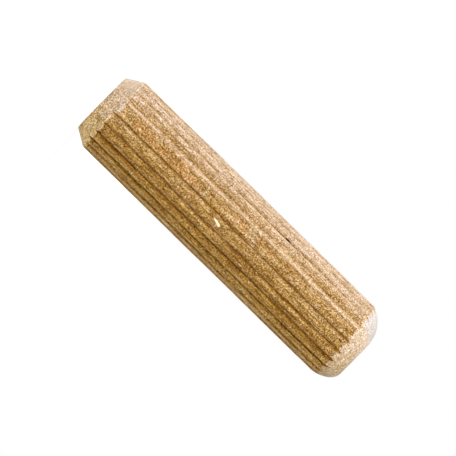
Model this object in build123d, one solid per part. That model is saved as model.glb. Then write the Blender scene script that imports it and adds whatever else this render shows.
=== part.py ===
"""A fluted wooden dowel pin, in millimetres: one solid of hardwood, standing on its chamfered end.

The pin is a round rod whose side is a ring of straight ribs, parallel to its axis, with a V-shaped
flute between each rib and the next. The flutes let glue and air out of the hole that the pin is
knocked into. The crests of the ribs lie on one cylinder, which is the pin's nominal diameter. The
lower end has a plain chamfer. The upper end is rounded over instead, along a quarter of an ellipse that
is deeper on the -X side than on the +X side, so the flat that is left there sits off the axis, towards +X.

+Z is up along the pin's axis, and the origin is the middle of the lower end face.
"""

from build123d import *
import os
from math import cos, degrees, radians, sin

# The rod.
LENGTH = 40.0  # from end face to end face
DIAMETER = 10.0  # over the crests of the ribs

# The flutes. Angles are degrees about +Z, counted from -Y towards +X.
FLUTE_DEPTH = 0.22  # from the crests to the bottom of a flute
FLUTE_WIDTH = 0.6  # of a flute at the crests
FRONT_START = -60.5  # the flute where the uneven ribs begin
FRONT_RIBS = (15.0, 17.5, 26.6, 18.6, 15.5, 14.9, 15.3, 16.6)  # the span of each uneven rib, in turn
BACK_RIB_COUNT = 14  # the other ribs share the rest of the circle evenly

# The lower end.
CHAMFER_HEIGHT = 1.9  # along the axis
CHAMFER_DEPTH = 1.2  # in from the crests
CHAMFER_EDGE_ROUND = 0.2  # the edge between the chamfer and the end face

# The upper end, rounded over from its flat to the side. A turn along the rounding is the angle of the
# ellipse's parameter, from 0 degrees where the ellipse is level to 90 degrees where it is upright.
ROUND_HEIGHT = 3.5  # along the axis
ROUND_LARGE = 3.9  # in from the crests, on the -X side
ROUND_SMALL = 2.05  # in from the crests, on the +X side
FIRST_TURN = 8.0  # where the rounding leaves the flat
LAST_TURN = 78.0  # where the rounding meets the crests
ROUND_STATIONS = 8  # circles that the rounding is drawn through

OUTSIDE = 1.0  # how far the trimming shapes reach beyond the rod

CREST_RADIUS = DIAMETER / 2
ROOT_RADIUS = CREST_RADIUS - FLUTE_DEPTH


def around(radius, angle):
    """The point at this radius and angle, with the angle counted from -Y towards +X."""
    return (radius * sin(radians(angle)), -radius * cos(radians(angle)))


def flute_angles():
    """The angle of the bottom of each flute, once round the pin."""
    angles = [FRONT_START]
    for span in FRONT_RIBS:
        angles.append(angles[-1] + span)
    back_span = (360 - sum(FRONT_RIBS)) / BACK_RIB_COUNT
    angles += [angles[-1] + back_span * step for step in range(1, BACK_RIB_COUNT)]
    return angles


def section():
    """The fluted cross-section: a crest arc for each rib, and two flanks that roll off it into each flute."""
    half_flute = degrees(FLUTE_WIDTH / 2 / CREST_RADIUS)
    angles = flute_angles()
    edges = []
    for root, next_root in zip(angles, angles[1:] + [angles[0] + 360]):
        first, last = root + half_flute, next_root - half_flute
        crest_start = around(CREST_RADIUS, first)
        crest_end = around(CREST_RADIUS, last)
        backwards = (-cos(radians(first)), -sin(radians(first)))
        onwards = (cos(radians(last)), sin(radians(last)))
        edges.append(TangentArc(crest_start, around(ROOT_RADIUS, root), tangent=backwards))
        edges.append(ThreePointArc(crest_start, around(CREST_RADIUS, (first + last) / 2), crest_end))
        edges.append(TangentArc(crest_end, around(ROOT_RADIUS, next_root), tangent=onwards))
    return make_face(edges)


def chamfered_bottom():
    """Everything inside the lower chamfer, as a solid of revolution."""
    slope = CHAMFER_HEIGHT / CHAMFER_DEPTH
    outer = CREST_RADIUS + OUTSIDE
    end_radius = CREST_RADIUS - CHAMFER_DEPTH
    outline = Polyline(
        (0, 0),
        (end_radius, 0),
        (outer, (outer - end_radius) * slope),
        (outer, LENGTH + OUTSIDE),
        (0, LENGTH + OUTSIDE),
        close=True,
    )
    half = make_face(outline)
    end_edge = half.vertices().sort_by_distance((end_radius, 0))[0]
    half = fillet(end_edge, CHAMFER_EDGE_ROUND)
    return revolve(Plane.XZ * half, Axis.Z)


def rounded_top():
    """Everything inside the upper rounding, drawn through circles that draw in to the axis as they grow."""
    level_large = CREST_RADIUS - ROUND_LARGE * sin(radians(LAST_TURN))
    level_small = CREST_RADIUS - ROUND_SMALL * sin(radians(LAST_TURN))
    lowest = LENGTH - ROUND_HEIGHT * cos(radians(FIRST_TURN))
    circles = []
    for station in range(ROUND_STATIONS):
        turn = radians(90 - (90 - FIRST_TURN) * station / (ROUND_STATIONS - 1))
        left = level_large + ROUND_LARGE * sin(turn)
        right = level_small + ROUND_SMALL * sin(turn)
        place = Pos((right - left) / 2, 0, lowest + ROUND_HEIGHT * cos(turn))
        circles.append(place * Circle((right + left) / 2))
    lower = Pos(0, 0, -OUTSIDE) * extrude(Circle(CREST_RADIUS + OUTSIDE), lowest + OUTSIDE)
    return lower + loft(circles)


def dowel_pin():
    """The whole pin, as one solid."""
    rod = extrude(section(), LENGTH)
    return rod & chamfered_bottom() & rounded_top()


os.makedirs("parts", exist_ok=True)
export_step(dowel_pin(), "parts/dowel_pin.step")
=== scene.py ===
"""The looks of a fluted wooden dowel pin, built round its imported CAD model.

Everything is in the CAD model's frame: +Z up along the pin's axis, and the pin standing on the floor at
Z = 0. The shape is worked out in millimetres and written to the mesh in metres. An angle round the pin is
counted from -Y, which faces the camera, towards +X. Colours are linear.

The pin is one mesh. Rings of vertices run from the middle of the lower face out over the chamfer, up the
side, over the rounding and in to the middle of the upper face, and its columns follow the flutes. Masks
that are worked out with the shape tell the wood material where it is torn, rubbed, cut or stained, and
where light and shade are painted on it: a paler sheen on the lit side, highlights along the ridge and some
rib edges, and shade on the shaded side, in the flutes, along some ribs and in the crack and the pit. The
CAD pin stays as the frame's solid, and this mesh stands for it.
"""

import math

import bmesh
import bpy
import numpy as np
from mathutils import Matrix, Vector


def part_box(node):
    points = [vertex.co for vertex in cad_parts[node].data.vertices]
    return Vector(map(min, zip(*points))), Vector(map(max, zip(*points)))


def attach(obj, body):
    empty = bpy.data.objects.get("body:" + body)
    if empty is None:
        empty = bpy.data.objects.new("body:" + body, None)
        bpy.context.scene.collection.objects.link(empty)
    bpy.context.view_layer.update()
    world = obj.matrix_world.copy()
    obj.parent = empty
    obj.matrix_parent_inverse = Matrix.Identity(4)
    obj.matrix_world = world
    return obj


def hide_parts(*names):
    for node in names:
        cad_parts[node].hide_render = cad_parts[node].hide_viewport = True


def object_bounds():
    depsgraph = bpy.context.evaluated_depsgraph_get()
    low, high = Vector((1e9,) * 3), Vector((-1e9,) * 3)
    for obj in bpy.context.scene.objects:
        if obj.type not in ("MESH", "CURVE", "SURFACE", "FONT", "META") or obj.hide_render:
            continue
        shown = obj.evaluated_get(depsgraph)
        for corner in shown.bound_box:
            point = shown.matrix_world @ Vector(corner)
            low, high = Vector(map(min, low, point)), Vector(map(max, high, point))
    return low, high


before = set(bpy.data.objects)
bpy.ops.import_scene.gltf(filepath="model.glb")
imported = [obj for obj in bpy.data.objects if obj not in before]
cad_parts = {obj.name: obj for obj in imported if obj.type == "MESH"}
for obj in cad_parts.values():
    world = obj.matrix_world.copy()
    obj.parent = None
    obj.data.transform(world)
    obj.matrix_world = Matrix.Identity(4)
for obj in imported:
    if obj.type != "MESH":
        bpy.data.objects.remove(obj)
CAD_LOW, CAD_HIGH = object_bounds()
PIN_LOW, PIN_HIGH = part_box("dowel_pin")

MM = 0.001
LENGTH = (PIN_HIGH.z - PIN_LOW.z) / MM
RADIUS = (PIN_HIGH.y - PIN_LOW.y) / 2 / MM  # over the crests of the ribs

# The ribs and flutes, as in the CAD model: mm, and degrees round the pin.
FLUTE_DEPTH = 0.22
FLUTE_WIDTH = 0.6
FRONT_START = -60.5
FRONT_RIBS = (15.0, 17.5, 26.6, 18.6, 15.5, 14.9, 15.3, 16.6)
BACK_RIB_COUNT = 14

# The lower end's chamfer and the upper end's rounding, as in the CAD model.
CHAMFER_HEIGHT = 1.9
CHAMFER_DEPTH = 1.2
CHAMFER_EDGE_ROUND = 0.2
ROUND_HEIGHT = 3.5
ROUND_LARGE = 3.9
ROUND_SMALL = 2.05
FIRST_TURN = 8.0
LAST_TURN = 78.0
ROUND_LOWEST = LENGTH - ROUND_HEIGHT * math.cos(math.radians(FIRST_TURN))

# The mesh.
COLUMN_SPAN = 0.9  # degrees between columns
SIDE_STEP = 0.26  # between rings on the plain side
EDGE_STEP = 0.07  # between rings where an end cuts the ribs
FACE_RINGS = 12
ON_FACE = 0.999  # a vertex less than this share of the way out from the middle lies on an end face
COLUMN_CROWDING = 0.06  # how far the columns draw together towards the flutes
WORN_FLUTE = 2  # this flute, beside the wide rib, is worn shallow
WORN_DEPTH = 0.3  # what share of its depth is left
CROWN_FALL = 0.035  # from the middle of a rib to its edges
CUT_BLEND = 0.05  # how softly a rib runs into a cut end
CHAMFER_LINE = -0.13  # how far the ribs stand past the cut where their brown wood turns to cut wood
ROUNDING_LINE = 0.13
CUT_LINE_SOFTNESS = 0.035
LIP_HEIGHT = 0.018  # of the burr along each edge of a flute
LIP_WIDTH = 0.09


# ---------------------------------------------------------------------------------------------------------
# Numbers over the surface
# ---------------------------------------------------------------------------------------------------------

def smooth(low, high, x):
    """0 below low, 1 above high, and a smooth step between."""
    t = np.clip((x - low) / (high - low), 0, 1)
    return t * t * (3 - 2 * t)


def soft_min(a, b, blend):
    """The smaller of a and b, rounded off where they are within blend of each other."""
    h = np.clip(0.5 + 0.5 * (b - a) / blend, 0, 1)
    return b * (1 - h) + a * h - blend * h * (1 - h)


def surface_noise(turn, height, across, along, seed):
    """Smooth noise from -1 to 1 in cells this many mm across and along the pin; it joins up once round."""
    columns = max(3, round(2 * math.pi * RADIUS / across))
    rows = math.ceil(LENGTH / along) + 3
    values = np.random.default_rng(seed).uniform(-1, 1, (rows, columns))
    u = turn / (2 * math.pi) * columns
    v = np.clip(height, 0, LENGTH) / along + 0.5
    left, below = np.floor(u).astype(int), np.floor(v).astype(int)
    fu, fv = smooth(0, 1, u - left), smooth(0, 1, v - below)
    lower = values[below, left % columns] * (1 - fu) + values[below, (left + 1) % columns] * fu
    upper = values[below + 1, left % columns] * (1 - fu) + values[below + 1, (left + 1) % columns] * fu
    return lower * (1 - fv) + upper * fv


def line_noise(height, lines, along, seed):
    """Smooth noise from -1 to 1 along each of so many lines, as an array of heights by lines."""
    rows = math.ceil(LENGTH / along) + 3
    values = np.random.default_rng(seed).uniform(-1, 1, (rows, lines))
    v = np.clip(height, 0, LENGTH) / along + 0.5
    below = np.floor(v).astype(int)
    f = smooth(0, 1, v - below)[:, None]
    return values[below] * (1 - f) + values[below + 1] * f


def turn_past(turn, degrees):
    """The angle from this many degrees round the pin on to turn, from minus half a turn to half a turn."""
    return np.mod(turn - math.radians(degrees) + math.pi, 2 * math.pi) - math.pi


def spot(turn, height, at_turn, at_height, width, length, slant=0.0):
    """How far from the middle of an oval spot, as a share of its half width and length; 1 is its edge."""
    across = RADIUS * turn_past(turn, at_turn)
    along = height - at_height
    lean = math.radians(slant)
    side = across * math.cos(lean) - along * math.sin(lean)
    run = across * math.sin(lean) + along * math.cos(lean)
    return np.hypot(side / (width / 2), run / (length / 2))


# ---------------------------------------------------------------------------------------------------------
# The shape
# ---------------------------------------------------------------------------------------------------------

def flute_turns():
    """The angle of the bottom of each flute, once round the pin, in radians."""
    turns = [FRONT_START]
    for span in FRONT_RIBS:
        turns.append(turns[-1] + span)
    back_span = (360 - sum(FRONT_RIBS)) / BACK_RIB_COUNT
    turns += [turns[-1] + back_span * step for step in range(1, BACK_RIB_COUNT)]
    return np.radians(turns)


def column_layout(flutes):
    """For each column of vertices, the number of its rib and how far across the rib it lies, from 0 to 1."""
    ribs, shares = [], []
    spans = np.diff(np.append(flutes, flutes[0] + 2 * math.pi))
    for rib, span in enumerate(spans):
        count = round(math.degrees(span) / COLUMN_SPAN)
        for step in range(count):
            even = step / count
            ribs.append(rib)
            shares.append(even - COLUMN_CROWDING * math.sin(2 * math.pi * even))
    return np.array(ribs), np.array(shares)


def round_circle(height):
    """The centre (along X) and radius of the circle that the upper rounding keeps at this height."""
    sine = np.sqrt(np.clip(1 - ((height - ROUND_LOWEST) / ROUND_HEIGHT) ** 2, 0, 1))
    left = RADIUS + ROUND_LARGE * (sine - math.sin(math.radians(LAST_TURN)))
    right = RADIUS + ROUND_SMALL * (sine - math.sin(math.radians(LAST_TURN)))
    return (right - left) / 2, (right + left) / 2


def ring_layout():
    """The rings from the edge of the lower face to the edge of the upper one, as heights and cone radii."""
    cone = math.atan2(CHAMFER_HEIGHT, CHAMFER_DEPTH)
    end_radius = RADIUS - CHAMFER_DEPTH
    flat_edge = end_radius - CHAMFER_EDGE_ROUND * math.tan(cone / 2)
    bends = np.linspace(0, cone, 5)[:-1]
    heights = list(CHAMFER_EDGE_ROUND * (1 - np.cos(bends)))
    radii = list(flat_edge + CHAMFER_EDGE_ROUND * np.sin(bends))
    on_chamfer = np.arange(CHAMFER_EDGE_ROUND * (1 - math.cos(cone)), CHAMFER_HEIGHT - 0.30, 0.12)
    lower_edge = np.arange(CHAMFER_HEIGHT - 0.28, CHAMFER_HEIGHT + 0.55, EDGE_STEP)
    upper_edge = np.arange(LENGTH - 2.9, LENGTH - 1.4, EDGE_STEP)
    side = np.arange(lower_edge[-1] + SIDE_STEP, upper_edge[0] - SIDE_STEP / 2, SIDE_STEP)
    steepest = math.acos((upper_edge[-1] + EDGE_STEP - ROUND_LOWEST) / ROUND_HEIGHT)
    over_top = ROUND_LOWEST + ROUND_HEIGHT * np.cos(np.linspace(steepest, math.radians(FIRST_TURN), 12))
    rising = np.concatenate([on_chamfer, lower_edge, side, upper_edge, over_top])
    heights = np.concatenate([heights, rising])
    radii = np.concatenate([radii, end_radius + rising * CHAMFER_DEPTH / CHAMFER_HEIGHT])
    return heights, radii


def rib_surface(heights, flutes, ribs, shares):
    """The turn and radius of every vertex of a plain ribbed rod, and its distance from the nearest flute."""
    count = len(flutes)
    wander = 0.035 * line_noise(heights, count, 6.0, 11) + 0.020 * line_noise(heights, count, 1.7, 12)
    bottoms = flutes + wander / RADIUS
    bottoms = np.concatenate([bottoms, bottoms[:, :1] + 2 * math.pi], axis=1)
    start, end = bottoms[:, ribs], bottoms[:, ribs + 1]
    turn = start + (end - start) * shares
    across = (end - start) * RADIUS
    valley = np.minimum(across * shares, across * (1 - shares))
    depths = FLUTE_DEPTH * (0.95 + 0.16 * line_noise(heights, count, 3.0, 13))
    depths[:, WORN_FLUTE] *= WORN_DEPTH
    depths = np.concatenate([depths, depths[:, :1]], axis=1)
    depth = depths[:, ribs] * (1 - shares) + depths[:, ribs + 1] * shares
    flank = np.clip(1 - valley / (FLUTE_WIDTH / 2), 0, 1)
    lip = LIP_HEIGHT * np.exp(-(((valley - FLUTE_WIDTH / 2 - LIP_WIDTH) / LIP_WIDTH) ** 2))
    crown = CROWN_FALL * (2 * shares - 1) ** 2
    level = np.abs(0.02 * line_noise(heights, count, 9.0, 14)[:, ribs])
    return turn, RADIUS - 0.01 - LIP_HEIGHT - level - crown + lip - depth * flank**2, valley


def kept_radius(turn, heights, cone_radii):
    """How far out the chamfer and the rounding leave the wood, at every vertex."""
    cone = cone_radii[:, None] + chamfer_wobble(turn)
    centre, radius = round_circle(heights)
    centre, radius = centre[:, None], radius[:, None]
    dome = centre * np.sin(turn) + np.sqrt(radius**2 - (centre * np.cos(turn)) ** 2)
    dome = np.where(heights[:, None] < ROUND_LOWEST, RADIUS + 1, dome)
    return np.minimum(cone, dome)


def chamfer_wobble(turn):
    """The chamfer isn't cut quite true: it bites further up the wide rib, and less beside it."""
    bite = spot(turn, 0 * turn, -13, 0, 2.2, 1)
    shy = spot(turn, 0 * turn, 5, 0, 1.6, 1)
    return 0.10 * (1 - smooth(0.5, 1.2, shy)) - 0.16 * (1 - smooth(0.6, 1.3, bite))


def base_shape():
    """The vertices and faces of the pin before its relief, with the numbers that the masks are made from."""
    flutes = flute_turns()
    ribs, shares = column_layout(flutes)
    heights, cone_radii = ring_layout()
    turn, rib_radius, valley = rib_surface(heights, flutes, ribs, shares)
    kept = kept_radius(turn, heights, cone_radii)
    radius = soft_min(rib_radius, kept, CUT_BLEND)
    side = np.stack([radius * np.sin(turn), -radius * np.cos(turn), heights[:, None] + 0 * turn], axis=-1)

    shares_out = np.linspace(0, 1, FACE_RINGS + 1)[1:-1, None, None]
    lower_middle = np.array([0.0, 0.0, heights[0]])
    upper_middle = np.array([round_circle(heights[-1])[0], 0.0, heights[-1]])
    lower = lower_middle + shares_out * (side[0] - lower_middle)
    upper = upper_middle + shares_out[::-1] * (side[-1] - upper_middle)
    grid = np.concatenate([lower, side, upper])
    inner = np.full((FACE_RINGS - 1, len(ribs)), 1.0)
    lower_share, upper_share = shares_out[:, :, 0] + 0 * inner, shares_out[::-1, :, 0] + 0 * inner
    facts = {
        "over": np.concatenate([inner, rib_radius - kept, inner]),
        "valley": np.concatenate([inner, valley, inner]),
        "share": np.concatenate([lower_share, 0 * turn + 1, upper_share]),
    }
    return grid, facts, lower_middle, upper_middle


def write_mesh(grid, facts, lower_middle, upper_middle):
    """The base shape as a Blender mesh, in mm, with each fact as a float attribute."""
    rings, columns = grid.shape[:2]
    last = rings * columns
    points = np.concatenate([grid.reshape(-1, 3), [lower_middle, upper_middle]])
    index = np.arange(last).reshape(rings, columns)
    beside = np.roll(index, -1, axis=1)
    quads = np.stack([index[:-1], beside[:-1], beside[1:], index[1:]], axis=-1).reshape(-1, 4)
    lower_fan = np.stack([np.full(columns, last), beside[0], index[0]], axis=-1)
    upper_fan = np.stack([np.full(columns, last + 1), index[-1], beside[-1]], axis=-1)
    mesh = bpy.data.meshes.new("dowel_pin_wood")
    mesh.from_pydata(points.tolist(), [], quads.tolist() + lower_fan.tolist() + upper_fan.tolist())
    for name, values in facts.items():
        middle = 0.0 if name == "share" else 1.0
        write_mask(mesh, name, np.append(values.ravel(), [middle, middle]))
    return mesh


def write_mask(mesh, name, values):
    """One float per vertex, under this name."""
    layer = mesh.attributes.new(name, "FLOAT", "POINT")
    layer.data.foreach_set("value", np.asarray(values, np.float32))


def read_mask(mesh, name):
    """The floats that write_mask wrote."""
    values = np.zeros(len(mesh.vertices), np.float32)
    mesh.attributes[name].data.foreach_get("value", values)
    return values.astype(float)


def read_points(mesh):
    """Where the vertices are, one row each."""
    points = np.zeros(len(mesh.vertices) * 3)
    mesh.vertices.foreach_get("co", points)
    return points.reshape(-1, 3)


def turns_of(points):
    """The angle of each point round the pin, counted from -Y towards +X."""
    return np.mod(np.arctan2(points[:, 0], -points[:, 1]), 2 * math.pi)


# ---------------------------------------------------------------------------------------------------------
# The marks on the wood
# ---------------------------------------------------------------------------------------------------------

# Each mark is (degrees round, height, width, length, slant in degrees), in mm.
CHIP = (6.6, 18.4, 0.34, 1.25, 13)
CHIP_END = (7.6, 18.7, 0.38, 0.7, 18)
CRACK = (-46.0, 25.55, 0.27, 1.05, 6)
PIT = (31.5, 2.2, 0.32, 0.6, 0)
DISC = (-15.2, 22.4, 1.2, 1.25, 0)
CHAMFER_STAIN = (20.0, 0.95, 1.1, 1.0, 25)
TORN = (-13.5, 8.0, 1.75, 15.5, 0)
TORN_TAIL = (-14.5, 21.0, 1.3, 15.0, 0)
ORANGE_STREAKS = (
    (-17.0, 20.7, 0.42, 2.3, 0), (-16.0, 16.1, 0.4, 1.4, 0), (-15.5, 24.9, 0.5, 1.6, 0),
    (-14.0, 28.1, 0.3, 1.2, 0),
)
SCUFF_TURN = -13  # degrees, of the middle of the scuffs, which run across the wide rib
SCUFF_HEIGHTS = (15.2, 20.0, 21.7, 22.95, 30.6, 32.9)
SCUFF_LENGTH = 2.0
SCUFF_HALF_WIDTH = 0.10
SHADED_SIDE_TURN = 60.0  # degrees, of the middle of the shaded side, where darker, warmer colour is painted on as shade
SHADED_SIDE_REACH = (15.0, 75.0)  # degrees either way where that begins to fade, and where it ends
FLUTE_SHADE_WIDTH = 0.19  # of the painted shade in the flutes, either side of a flute's bottom
RIDGE_TURN = -23.5  # degrees, of the raised ridge along the wide rib, which is painted pale as a highlight
RIDGE_HALF_WIDTH = 0.20
RIM_HALF_WIDTH = 0.12  # of the disc's rim, as a share of the disc's radius
RIB_HIGHLIGHT_LINES = (  # painted highlights along the ribs: degrees round, half width in mm, and how pale
    (-56.6, 0.10, 0.3), (-42.2, 0.16, 0.7), (-28.0, 0.26, 0.55), (2.9, 0.22, 0.45), (22.4, 0.15, 0.4),
    (28.4, 0.08, 0.35), (42.6, 0.10, 0.4), (56.2, 0.12, 0.7), (69.5, 0.2, 1.0),
)
RIB_SHADE_LINES = (  # painted shade along the ribs: degrees round, half width in mm, and how dark
    (-48.0, 0.15, 0.2), (-33.0, 0.22, 0.35), (7.5, 0.35, 0.15), (12.4, 0.26, 0.45), (18.6, 0.12, 0.4),
    (26.4, 0.20, 0.85), (34.8, 0.28, 0.6), (46.0, 0.10, 0.5),
)
LIT_SHEEN_TURN = -68.0  # degrees, of the middle of the lit side, where a paler colour is painted on as sheen
LIT_SHEEN_REACH = (18.0, 48.0)  # degrees either way where that begins to fade, and where it ends
CHAMFER_CALM = 0.72  # what share of the speckle shows on the chamfer, and so on
ROUNDING_CALM = 0.6
LIT_SHEEN_CALM = 0.75
BACK_CALM = 0.7
BACK_REACH = (75.0, 120.0)  # degrees either way of the front where the back begins, and where it is whole
LIT_SHEEN_CUT_CALMED = 0.3  # what share of the speckle goes where a cut end has the painted sheen, and so on
RIDGE_CALMED = 0.4
DISC_CALMED = 0.3

# How far the marks stand up from the wood or sink into it, in mm.
TORN_SUNK = 0.075
TORN_ROUGH = 0.055
RIDGE_RAISED = 0.03
SCUFF_RAISED = 0.02
DISC_RAISED = 0.02
RIM_RAISED = 0.02
CRACK_SUNK = 0.16
CHIP_RAISED = 0.11
CHIP_HOLLOW = 0.05  # the dip that the chip lies in
FACE_SUNK = 0.012

FINE_MARKS = (CHIP, CHIP_END, CRACK, PIT)
REFINED_MARKS = (DISC, TORN, TORN_TAIL)


def refine(mesh):
    """Divides the faces at the marks, so that their relief has enough vertices."""
    work = bmesh.new()
    work.from_mesh(mesh)
    for marks, cuts in ((REFINED_MARKS, 1), (FINE_MARKS, 2)):
        centres = np.array([face.calc_center_median() for face in work.faces])
        turn, height = turns_of(centres), centres[:, 2]
        near = np.zeros(len(centres), bool)
        for mark in marks:
            near |= spot(turn, height, *mark) < 1.15
        chosen = [face for face, wanted in zip(work.faces, near) if wanted]
        edges = list({edge for face in chosen for edge in face.edges})
        bmesh.ops.subdivide_edges(work, edges=edges, cuts=cuts, use_grid_fill=True)
    work.normal_update()
    work.to_mesh(mesh)
    work.free()
    mesh.update()


def along_lines(turn, height, lines, seed):
    """How strongly a vertex lies on the lines that run the length of the ribs, from 0 to 1."""
    strongest = np.zeros(len(turn))
    for number, (at_turn, half_width, strength) in enumerate(lines):
        off = RADIUS * turn_past(turn, at_turn)
        off = off + 0.05 * surface_noise(turn, height, 3.0, 4.0, seed + number)
        fade = 0.85 + 0.35 * surface_noise(turn, height, 0.6, 1.6, seed + 20 + number)
        strongest = np.maximum(strongest, strength * fade * np.exp(-((off / half_width) ** 2)))
    return np.clip(strongest, 0, 1)


def shape_masks(mesh):
    """Where the wood is a flute, a crest, a cut end or one of the marks, and where light and shade are
    painted on: each from 0 to 1, one per vertex.
    """
    points = read_points(mesh)
    turn, height = turns_of(points), points[:, 2]
    over, valley = read_mask(mesh, "over"), read_mask(mesh, "valley")
    line = np.where(height < LENGTH / 2, CHAMFER_LINE, ROUNDING_LINE)
    cut = smooth(-CUT_LINE_SOFTNESS, CUT_LINE_SOFTNESS, over - line)
    ribbed = 1 - cut
    fade = 0.72 + 0.38 * surface_noise(turn, height, 1.1, 3.2, 21)
    lit_sheen_off = np.abs(turn_past(turn, LIT_SHEEN_TURN))
    # The lit side, where a pale sheen is painted on; it fades in towards the middle of each end face.
    pale = 1 - smooth(*np.radians(LIT_SHEEN_REACH), lit_sheen_off + 0.12 * surface_noise(turn, height, 1.2, 6.0, 25))
    pale *= smooth(0.25, 0.65, np.hypot(points[:, 0], points[:, 1]) / RADIUS)
    # The shaded side, where darker, warmer shade is painted on.
    shaded_side = 1 - smooth(*np.radians(SHADED_SIDE_REACH), np.abs(turn_past(turn, SHADED_SIDE_TURN)))
    # Painted shade in the flutes, weaker on the lit side.
    flute = np.exp(-((valley / FLUTE_SHADE_WIDTH) ** 2)) * np.clip(fade, 0.25, 1) * ribbed * (1 - 0.7 * pale)
    patchy = surface_noise(turn, height, 0.5, 1.4, 22) + 0.6 * surface_noise(turn, height, 0.25, 0.5, 23)
    torn_spot = np.minimum(spot(turn, height, *TORN), 0.25 + spot(turn, height, *TORN_TAIL))
    torn = (1 - smooth(0.75, 1.12, torn_spot + 0.14 * patchy)) * ribbed
    orange = torn * smooth(-0.1, 0.5, surface_noise(turn, height, 0.8, 2.2, 27) + 0.4 * patchy)
    for mark in ORANGE_STREAKS:
        orange = np.maximum(orange, (1 - smooth(0.5, 1.2, spot(turn, height, *mark) + 0.2 * patchy)) * ribbed)
    splinter = np.minimum(spot(turn, height, *CHIP), spot(turn, height, *CHIP_END))
    chip = 1 - smooth(0.72, 1.0, splinter + 0.16 * patchy)
    crack = 1 - smooth(0.6, 1.05, spot(turn, height, *CRACK))
    pit = 1 - smooth(0.6, 1.05, spot(turn, height, *PIT))
    disc = 1 - smooth(0.85, 1.0, spot(turn, height, *DISC))
    stain = 1 - smooth(0.4, 1.1, spot(turn, height, *CHAMFER_STAIN) + 0.3 * patchy)
    ridge_off = RADIUS * turn_past(turn, RIDGE_TURN)
    broken = 0.8 + 0.3 * surface_noise(turn, height, 3, 1.8, 24)
    ridge = np.exp(-((ridge_off / RIDGE_HALF_WIDTH) ** 2)) * ribbed * broken
    scuff = np.zeros(len(points))
    for number, at in enumerate(SCUFF_HEIGHTS):
        wavy = at + 0.10 * surface_noise(turn, height, 0.4, 40, 30 + number)
        line = np.exp(-(((height - wavy) / SCUFF_HALF_WIDTH) ** 2))
        reach_across = 1 - smooth(0.7, 1.1, spot(turn, height, SCUFF_TURN, at, SCUFF_LENGTH, SCUFF_LENGTH))
        scuff = np.maximum(scuff, line * reach_across * smooth(-0.6, 0.3, patchy))
    rim = np.exp(-(((spot(turn, height, *DISC) - 1) / RIM_HALF_WIDTH) ** 2))
    cut_calm = np.where(height < LENGTH / 2, CHAMFER_CALM, ROUNDING_CALM)
    calm = 1 - (1 - cut_calm) * cut - (1 - LIT_SHEEN_CALM) * pale * (1 - cut)
    calm = calm - LIT_SHEEN_CUT_CALMED * pale * cut - RIDGE_CALMED * ridge - DISC_CALMED * disc
    calm *= 1 - (1 - BACK_CALM) * smooth(*np.radians(BACK_REACH), np.abs(turn_past(turn, 0)))
    return {
        "cut": cut, "flute": flute, "torn": torn, "orange": orange, "chip": chip,
        "dark": np.maximum(crack, pit),
        "disc": disc, "rim": rim, "stain": stain * cut, "ridge": np.clip(ridge, 0, 1),
        "scuff": scuff * ribbed,
        "pale": pale, "shaded_side": shaded_side, "rounded": smooth(LENGTH / 2 - 1, LENGTH / 2 + 1, height),
        "calm": calm,
        # Painted highlights and painted shade, in lines along the ribs.
        "painted_highlight": along_lines(turn, height, RIB_HIGHLIGHT_LINES, 60) * ribbed,
        "painted_line_shade": along_lines(turn, height, RIB_SHADE_LINES, 100) * ribbed,
    }


def relief(mesh, masks):
    """How far each vertex is raised from the base shape, in mm, along its normal."""
    points = read_points(mesh)
    turn, height = turns_of(points), points[:, 2]
    share = read_mask(mesh, "share")
    ribbed = 1 - masks["cut"]
    fibres = (
        0.016 * surface_noise(turn, height, 0.17, 1.7, 41)
        + 0.011 * surface_noise(turn, height, 0.11, 0.75, 42)
        + 0.010 * surface_noise(turn, height, 0.45, 3.0, 43)
    )
    rough = 0.6 * surface_noise(turn, height, 0.2, 0.5, 44) + 0.6 * surface_noise(turn, height, 0.5, 1.1, 45)
    turning = 0.010 * surface_noise(turn, height, 2.5, 0.17, 46)
    turning += 0.006 * surface_noise(turn, height, 0.3, 0.2, 47)
    on_face = share < ON_FACE
    raised = ribbed * fibres
    raised += masks["torn"] * (-TORN_SUNK + TORN_ROUGH * rough)
    raised += RIDGE_RAISED * masks["ridge"] + SCUFF_RAISED * masks["scuff"]
    raised += masks["disc"] * (DISC_RAISED - 0.5 * fibres) + RIM_RAISED * masks["rim"]
    raised -= CRACK_SUNK * masks["dark"]
    near_chip = 1 - smooth(1.0, 1.9, spot(turn, height, *CHIP))
    raised += CHIP_RAISED * masks["chip"] - CHIP_HOLLOW * near_chip
    raised += masks["cut"] * np.where(on_face, 0, turning)
    uneven = surface_noise(turn, height + 3 * share, 0.6, 0.4, 48)
    raised -= np.where(on_face, FACE_SUNK * (1 + uneven), 0)
    return raised


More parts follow.
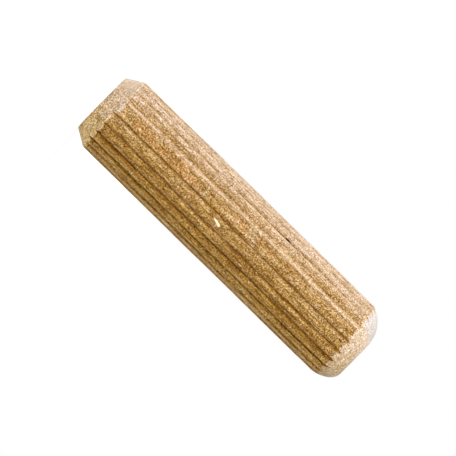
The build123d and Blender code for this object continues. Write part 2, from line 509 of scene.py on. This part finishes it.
def bake_map(mesh):
    """The UV map that the finish is baked through: the side unrolled, and the two faces beside it.

    The map is named OFBake. side_wide, face_size and margin are shares of the map's side.
    """
    side_wide, face_size, margin = 0.76, 0.19, 0.01
    points = read_points(mesh)
    turn, height = turns_of(points) / (2 * math.pi), points[:, 2]
    share = read_mask(mesh, "share")
    corners = np.zeros(len(mesh.loops), np.int32)
    mesh.loops.foreach_get("vertex_index", corners)
    starts = np.zeros(len(mesh.polygons), np.int32)
    mesh.polygons.foreach_get("loop_start", starts)
    totals = np.diff(np.append(starts, len(corners)))
    face_of = np.repeat(np.arange(len(starts)), totals)
    least = np.minimum.reduceat(share[corners], starts)[face_of]
    u = turn[corners]
    widest = np.maximum.reduceat(u, starts)[face_of]
    u = np.where((widest - u) > 0.5, u + 1, u)
    v = (height[corners] + 0.3) / (LENGTH + 0.6)
    places = np.stack([margin + u * side_wide, margin + v * (1 - 2 * margin)], axis=-1)
    across = points[corners, :2] / (2 * RADIUS) * face_size
    middle_u = (1 + margin + side_wide) / 2
    low = height[corners] < LENGTH / 2
    for chosen, middle_v in ((low, 0.25), (~low, 0.75)):
        chosen = chosen & (least < ON_FACE)
        places[chosen] = (np.array([middle_u, middle_v]) + across)[chosen]
    layer = mesh.uv_layers.new(name="OFBake")
    layer.data.foreach_set("uv", places.astype(np.float32).ravel())


def make_pin():
    """The whole pin as one object, in metres."""
    mesh = write_mesh(*base_shape())
    refine(mesh)
    masks = shape_masks(mesh)
    normals = np.zeros(len(mesh.vertices) * 3)
    mesh.vertices.foreach_get("normal", normals)
    points = read_points(mesh) + normals.reshape(-1, 3) * relief(mesh, masks)[:, None]
    out = np.hypot(points[:, 0], points[:, 1])
    points[:, :2] *= (np.minimum(out, RADIUS) / np.maximum(out, 1e-9))[:, None]
    points[:, 2] = np.clip(points[:, 2], 0, LENGTH)
    bake_map(mesh)
    for name in ("over", "valley", "share"):
        mesh.attributes.remove(mesh.attributes[name])
    for name, values in masks.items():
        write_mask(mesh, name, values)
    mesh.vertices.foreach_set("co", (points * MM).ravel())
    mesh.polygons.foreach_set("use_smooth", np.ones(len(mesh.polygons), bool))
    mesh.update()
    pin = bpy.data.objects.new("dowel_pin_wood", mesh)
    bpy.context.scene.collection.objects.link(pin)
    return pin


# ---------------------------------------------------------------------------------------------------------
# The wood
# ---------------------------------------------------------------------------------------------------------

GOLD = (0.385, 0.209, 0.044)
TAN = (0.465, 0.272, 0.085)
PINKISH = (0.51, 0.325, 0.145)
PALE_FIBRE = (0.78, 0.61, 0.38)
ORANGE = (0.46, 0.225, 0.062)
TORN_WOOD = (0.44, 0.26, 0.08)
# Painted sheen: the paler colour that the lit side of the ribs is painted with.
LIT_SHEEN = (0.585, 0.445, 0.32)
# Painted highlight: the pale colour of the ridge along the wide rib.
RIDGE_HIGHLIGHT = (0.82, 0.635, 0.48)
# Painted highlight: the pale colour of the bright lines along the ribs.
HIGHLIGHT_LINE_COLOUR = (0.78, 0.54, 0.24)
SCUFF_PALE = (0.76, 0.60, 0.42)
# The chamfer and the rounding each come in three copies: plain, a warmer one for the shaded side, which is
# painted shade, and a greyer, paler one for the lit side, which is painted sheen.
CHAMFER_WOOD = (0.70, 0.53, 0.35)
CHAMFER_SHADED = (1.0, 0.70, 0.33)
CHAMFER_SHEEN = (0.66, 0.53, 0.40)
ROUNDED_WOOD = (0.70, 0.54, 0.385)
ROUNDED_SHADED = (0.61, 0.455, 0.275)
ROUNDED_SHEEN = (0.58, 0.55, 0.53)
CUT_DARK = (0.46, 0.30, 0.15)
STAIN = (0.40, 0.27, 0.07)
CHIP_CREAM = (0.98, 0.93, 0.74)
DISC_GREY = (0.49, 0.34, 0.165)
# Painted shade: the near-black colour inside the crack and the pit.
CRACK_SHADE = (0.15, 0.06, 0.018)
FINE_SPECKLE = 1.8  # how far the flecks' brightness ranges, from darkest to lightest, and so on
SHORT_SPECKLE = 0.55
SOFT_PATCHES = 0.22
LONG_STREAKS = 0.34
LIGHT_FLECKS = 0.48  # how strongly the pale fibres show
FLUTE_SHADE_TINT = (0.63, 0.44, 0.08)  # painted shade: what a flute's colour is multiplied by, at its darkest
# Painted shade: what the dark lines along the ribs are multiplied by.
SHADE_LINE_TINT = (0.62, 0.50, 0.30)
DASH_TINT = (0.62, 0.50, 0.34)
SHADED_SIDE_TINT = (0.96, 0.89, 0.48)  # painted shade: what the side's colour is multiplied by on its shaded side
SPECKLE_POWERS = (0.9, 1.15, 1.8)  # of red, green and blue, so that dark flecks are warm and light ones pale


class Nodes:
    """Adds nodes to one tree, each by a call that returns its output socket."""

    def __init__(self, tree):
        self.tree = tree
        tree.nodes.clear()

    def add(self, kind, inputs=(), **settings):
        """A node of this kind. inputs are (name or number, socket or value) pairs."""
        node = self.tree.nodes.new(kind)
        for name, value in settings.items():
            setattr(node, name, value)
        for name, value in inputs:
            if isinstance(value, bpy.types.NodeSocket):
                self.tree.links.new(value, node.inputs[name])
            else:
                node.inputs[name].default_value = value
        return node

    def math(self, operation, a, b):
        return self.add("ShaderNodeMath", ((0, a), (1, b)), operation=operation).outputs[0]

    def spread(self, value, range_wide):
        """1 where value is a half, and off that by up to half of range_wide each way as value goes 0 to 1."""
        return self.math("ADD", self.math("MULTIPLY", value, range_wide), 1 - range_wide / 2)

    def mask(self, name):
        return self.add("ShaderNodeAttribute", attribute_name=name).outputs["Fac"]

    def remap(self, value, low, high, to_low=0.0, to_high=1.0):
        """value from low to high becomes to_low to to_high, with a smooth step and no more beyond them."""
        sockets = ((0, value), (1, low), (2, high), (3, to_low), (4, to_high))
        return self.add("ShaderNodeMapRange", sockets, interpolation_type="SMOOTHSTEP").outputs[0]

    def mix(self, factor, a, b, blend="MIX"):
        """Colour a turned into colour b, or blended with it, by factor."""
        node = self.add("ShaderNodeMix", data_type="RGBA", blend_type=blend, clamp_result=True)
        for socket, value in ((node.inputs[0], factor), (node.inputs[6], a), (node.inputs[7], b)):
            if isinstance(value, bpy.types.NodeSocket):
                self.tree.links.new(value, socket)
            else:
                socket.default_value = (*value, 1) if isinstance(value, tuple) else value
        return node.outputs[2]

    def paint(self, colour, mask, strength, over):
        """colour with the colour over on it, where the mask of this name is, and this strong."""
        return self.mix(self.math("MULTIPLY", self.mask(mask), strength), colour, over)

    def grain_place(self, across, along, shift):
        """Coordinates in cells this many mm across and along the grain, moved aside by shift cells."""
        place = self.add("ShaderNodeTexCoord").outputs["Object"]
        scale = (1 / (across * MM), 1 / (across * MM), 1 / (along * MM))
        inputs = (("Vector", place), ("Location", (shift, 2 * shift, 3 * shift)), ("Scale", scale))
        return self.add("ShaderNodeMapping", inputs).outputs[0]

    def noise(self, across, along, shift, detail=2.0, rough=0.5):
        """Solid noise of about this grain, in mm; its values are mostly from 0.3 to 0.7."""
        place = self.grain_place(across, along, shift)
        inputs = (("Vector", place), ("Scale", 1.0), ("Detail", detail), ("Roughness", rough))
        return self.add("ShaderNodeTexNoise", inputs).outputs[0]

    def cells(self, across, along, shift):
        """Distance from the nearest of many scattered points, and a random number for that point."""
        place = self.grain_place(across, along, shift)
        node = self.add("ShaderNodeTexVoronoi", (("Vector", place), ("Scale", 1.0)))
        random = self.add("ShaderNodeSeparateColor", (("Color", node.outputs["Color"]),)).outputs[0]
        return node.outputs["Distance"], random


def sparse_dots(nodes, across, along, shift, size, share):
    """1 in scattered dots or dashes, in this share of the cells, and 0 between."""
    distance, random = nodes.cells(across, along, shift)
    near = nodes.remap(distance, size, size * 0.35)
    chosen = nodes.math("LESS_THAN", random, share)
    return nodes.math("MULTIPLY", near, chosen)


def speckle_gain(nodes):
    """How much lighter or darker the wood is, fleck by fleck: about 1, from short flecks to long streaks."""
    fine = nodes.cells(0.085, 0.085, 45.1)[1]
    short = nodes.cells(0.08, 1.2, 48.9)[1]
    patch = nodes.remap(nodes.noise(0.45, 2.6, 15.5, 2.0), 0.35, 0.65)
    long = nodes.remap(nodes.noise(0.25, 7.0, 5.5, 3.0, 0.6), 0.3, 0.7)
    gain = nodes.math("MULTIPLY", nodes.spread(fine, FINE_SPECKLE), nodes.spread(short, SHORT_SPECKLE))
    gain = nodes.math("MULTIPLY", gain, nodes.spread(patch, SOFT_PATCHES))
    return nodes.math("MULTIPLY", gain, nodes.spread(long, LONG_STREAKS))


def side_colour(nodes, bright):
    """The colour of the ribs and flutes, with painted sheen on the lit side, painted highlights and painted
    shade.
    """
    broad = nodes.remap(nodes.noise(0.5, 7.0, 3.1, 4.0, 0.6), 0.38, 0.62)
    colour = nodes.mix(broad, GOLD, TAN)
    pink = nodes.remap(nodes.noise(0.15, 3.0, 8.3, 3.0, 0.6), 0.44, 0.64)
    colour = nodes.mix(pink, colour, PINKISH)
    colour = nodes.paint(colour, "torn", 0.7, TORN_WOOD)
    orange_grain = nodes.remap(nodes.noise(0.3, 0.7, 27.1, 3.0), 0.36, 0.54, 0.15, 1.0)
    colour = nodes.paint(colour, "orange", orange_grain, ORANGE)
    dashes = sparse_dots(nodes, 0.12, 1.8, 21.9, 0.42, 0.16)
    colour = nodes.mix(dashes, colour, DASH_TINT, "MULTIPLY")
    # The lit side is painted paler, patchy along the grain: a painted sheen.
    sheen_strength = nodes.remap(nodes.noise(0.14, 4.0, 31.9, 3.0, 0.6), 0.35, 0.65, 0.45, 0.8)
    colour = nodes.paint(colour, "pale", sheen_strength, LIT_SHEEN)
    # Painted shade: the shaded side, the flutes and the lines along the ribs are darkened.
    for mask, tint in (("shaded_side", SHADED_SIDE_TINT), ("flute", FLUTE_SHADE_TINT), ("painted_line_shade", SHADE_LINE_TINT)):
        colour = nodes.mix(nodes.mask(mask), colour, tint, "MULTIPLY")
    marks = (("painted_highlight", 0.6, HIGHLIGHT_LINE_COLOUR), ("ridge", 0.72, RIDGE_HIGHLIGHT), ("scuff", 0.6, SCUFF_PALE))
    for mask, strength, over in marks:
        colour = nodes.paint(colour, mask, strength, over)
    colour = nodes.mix(bright, colour, PALE_FIBRE)
    colour = nodes.paint(colour, "disc", 0.85, DISC_GREY)
    return nodes.paint(colour, "rim", 0.3, SCUFF_PALE)


def cut_colour(nodes):
    """The colour of the chamfer, the rounding and the faces, where the grain is cut across."""
    pale, shaded_side = nodes.mask("pale"), nodes.mask("shaded_side")
    # Painted sheen and shade: the lit side is greyer and paler, the shaded side warmer.
    chamfer = nodes.mix(pale, nodes.mix(shaded_side, CHAMFER_WOOD, CHAMFER_SHADED), CHAMFER_SHEEN)
    lines = nodes.remap(nodes.noise(1.2, 0.10, 39.7, 2.0), 0.42, 0.66, 0, 0.45)
    chamfer = nodes.mix(lines, chamfer, CUT_DARK)
    rounding = nodes.mix(pale, nodes.mix(shaded_side, ROUNDED_WOOD, ROUNDED_SHADED), ROUNDED_SHEEN)
    colour = nodes.mix(nodes.mask("rounded"), chamfer, rounding)
    pores = sparse_dots(nodes, 0.13, 0.3, 36.1, 0.5, 0.22)
    colour = nodes.mix(nodes.math("MULTIPLY", pores, 0.45), colour, CUT_DARK)
    stain_grain = nodes.remap(nodes.noise(0.2, 0.25, 37.7, 2.0), 0.38, 0.60, 0.1, 1.0)
    return nodes.paint(colour, "stain", stain_grain, STAIN)


def wood_material():
    """Dry hardwood: flecked along the grain on the side, paler and finer on the cut ends, with painted sheen
    and shade.
    """
    material = bpy.data.materials.new("wood")
    material.use_nodes = True
    nodes = Nodes(material.node_tree)
    gain = speckle_gain(nodes)
    speckle = sparse_dots(nodes, 0.17, 0.30, 41.3, 0.5, 0.16)
    torn_dots = sparse_dots(nodes, 0.2, 0.26, 52.7, 0.5, 0.3)
    torn_dots = nodes.math("MULTIPLY", torn_dots, nodes.mask("torn"))
    bright = nodes.math("MULTIPLY", nodes.math("MAXIMUM", speckle, torn_dots), LIGHT_FLECKS)
    colour = nodes.mix(nodes.mask("cut"), side_colour(nodes, bright), cut_colour(nodes))
    gain = nodes.add("ShaderNodeMix", ((0, nodes.mask("calm")), (2, 1.0), (3, gain))).outputs[0]
    channels = [(index, nodes.math("POWER", gain, power)) for index, power in enumerate(SPECKLE_POWERS)]
    shade = nodes.add("ShaderNodeCombineColor", channels).outputs[0]
    colour = nodes.mix(1.0, colour, shade, "MULTIPLY")
    colour = nodes.mix(nodes.mask("chip"), colour, CHIP_CREAM)
    # The crack and the pit are painted near black: painted shade in them.
    colour = nodes.mix(nodes.mask("dark"), colour, CRACK_SHADE)

    height = nodes.math("ADD", nodes.math("MULTIPLY", gain, 0.7), nodes.math("MULTIPLY", bright, 0.6))
    bump = nodes.add("ShaderNodeBump", (("Strength", 0.6), ("Distance", 0.04 * MM), ("Height", height)))
    inputs = (
        ("Base Color", colour),
        ("Roughness", 0.72),
        ("Normal", bump.outputs[0]),
        ("Specular IOR Level", 0.06),
        ("Sheen Weight", 0.45),
        ("Sheen Roughness", 0.35),
    )
    shader = nodes.add("ShaderNodeBsdfPrincipled", inputs)
    nodes.add("ShaderNodeOutputMaterial", (("Surface", shader.outputs[0]),))
    return material


# ---------------------------------------------------------------------------------------------------------
# The floor, the light and the camera
# ---------------------------------------------------------------------------------------------------------

AMBIENT = (0.22, 0.20, 0.16)
FLOOR_SIZE = 2.0
FLOOR_PALE = 0.8
FLOOR_SEEN_SHADE = 0.25  # how much of the light on the floor shows to the camera, shadow and all
FLOOR_NEAR_GLOW = 0.88  # added to that beside the pin, so that the lit floor is as white as the backdrop
FLOOR_FAR_GLOW = 1.05  # and added to it from FLOOR_CLEAR on
FLOOR_SHADED = 0.015  # how far from the pin the shadow is at its full strength
FLOOR_CLEAR = 0.11

LAMPS = (  # name, degrees round and up, distance and size in m, level, and colour
    ("key", -38, 30, 0.6, 0.22, 0.94, (1.0, 0.97, 0.92)),
    ("rim", -115, 20, 0.6, 0.3, 0.55, (1.0, 0.98, 1.0)),
    ("edge", 80, 12, 0.7, 0.35, 0.33, (1.0, 0.93, 0.80)),
)


def seen_straight(nodes):
    """1 where the camera looks at this, straight or in gloss or through glass, and 0 where it only lights."""
    path = nodes.add("ShaderNodeLightPath").outputs
    reflected = nodes.math("MAXIMUM", path["Is Glossy Ray"], path["Is Transmission Ray"])
    return nodes.math("MAXIMUM", path["Is Camera Ray"], reflected)


def make_backdrop():
    """A white world, which lights the pin only weakly."""
    world = bpy.data.worlds.new("backdrop")
    world.use_nodes = True
    bpy.context.scene.world = world
    nodes = Nodes(world.node_tree)
    colour = nodes.mix(seen_straight(nodes), AMBIENT, (1.0, 1.0, 1.0))
    background = nodes.add("ShaderNodeBackground", (("Color", colour),))
    nodes.add("ShaderNodeOutputWorld", (("Surface", background.outputs[0]),))


def make_floor():
    """A pale floor that looks white and keeps the pin's soft shadow."""
    material = bpy.data.materials.new("floor")
    material.use_nodes = True
    nodes = Nodes(material.node_tree)
    pale = nodes.add("ShaderNodeBsdfDiffuse", (("Color", (FLOOR_PALE,) * 3 + (1,)),))
    shade = nodes.add("ShaderNodeBsdfDiffuse", (("Color", (FLOOR_SEEN_SHADE,) * 3 + (1,)),))
    place = nodes.add("ShaderNodeTexCoord").outputs["Object"]
    away = nodes.add("ShaderNodeVectorMath", ((0, place),), operation="LENGTH").outputs["Value"]
    strength = nodes.remap(away, FLOOR_SHADED, FLOOR_CLEAR, FLOOR_NEAR_GLOW, FLOOR_FAR_GLOW)
    glow = nodes.add("ShaderNodeEmission", (("Strength", strength),))
    seen = nodes.add("ShaderNodeAddShader", ((0, shade.outputs[0]), (1, glow.outputs[0])))
    sockets = ((0, seen_straight(nodes)), (1, pale.outputs[0]), (2, seen.outputs[0]))
    both = nodes.add("ShaderNodeMixShader", sockets)
    nodes.add("ShaderNodeOutputMaterial", (("Surface", both.outputs[0]),))
    mesh = bpy.data.meshes.new("floor")
    half = FLOOR_SIZE / 2
    corners = [(-half, -half, 0), (half, -half, 0), (half, half, 0), (-half, half, 0)]
    mesh.from_pydata(corners, [], [(0, 1, 2, 3)])
    mesh.materials.append(material)
    floor = bpy.data.objects.new("floor", mesh)
    bpy.context.scene.collection.objects.link(floor)


def make_lamp(name, round_degrees, up_degrees, distance, size, level, colour):
    """A square lamp that faces the pin's middle. level is how bright a white surface facing it would be."""
    data = bpy.data.lights.new(name, "AREA")
    data.size = size
    data.energy = level * math.pi**2 * distance**2
    data.color = colour
    lamp = bpy.data.objects.new(name, data)
    bpy.context.scene.collection.objects.link(lamp)
    around, up = math.radians(round_degrees), math.radians(up_degrees)
    out = Vector((math.sin(around) * math.cos(up), -math.cos(around) * math.cos(up), math.sin(up)))
    lamp.location = pin_middle() + out * distance
    lamp.rotation_mode = "QUATERNION"
    lamp.rotation_quaternion = out.to_track_quat("Z", "Y")


def pin_middle():
    """The middle of the pin, in metres."""
    return Vector((0, 0, (CAD_LOW.z + CAD_HIGH.z) / 2))


SENSOR = 36.0
CAMERA_DISTANCE = 0.9
PICTURE_SPAN = 0.0507  # of the picture's side, at the pin's axis
AXIS_LEAN = 44.36  # degrees that the pin's top points below the picture's right
AIM_RIGHT = -0.00029  # from the pin's middle to the middle of the picture, along the picture
AIM_UP = 0.00005


def make_camera():
    """Level with the pin's middle, looking along +Y, rolled so that the pin's top is at the lower right."""
    data = bpy.data.cameras.new("camera")
    data.sensor_width = SENSOR
    data.lens = SENSOR * CAMERA_DISTANCE / PICTURE_SPAN
    camera = bpy.data.objects.new("camera", data)
    bpy.context.scene.collection.objects.link(camera)
    bpy.context.scene.camera = camera
    lean = math.radians(AXIS_LEAN)
    right = Vector((-math.sin(lean), 0, math.cos(lean)))
    up = Vector((-math.cos(lean), 0, -math.sin(lean)))
    back = right.cross(up)
    place = pin_middle() + right * AIM_RIGHT + up * AIM_UP + back * CAMERA_DISTANCE
    camera.matrix_world = Matrix.Translation(place) @ Matrix((right, up, back)).transposed().to_4x4()


pin = make_pin()
pin.data.materials.append(wood_material())
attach(pin, "root")
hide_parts("dowel_pin")

make_backdrop()
make_floor()
for lamp in LAMPS:
    make_lamp(*lamp)
make_camera()
bpy.context.scene.view_settings.view_transform = "Standard"
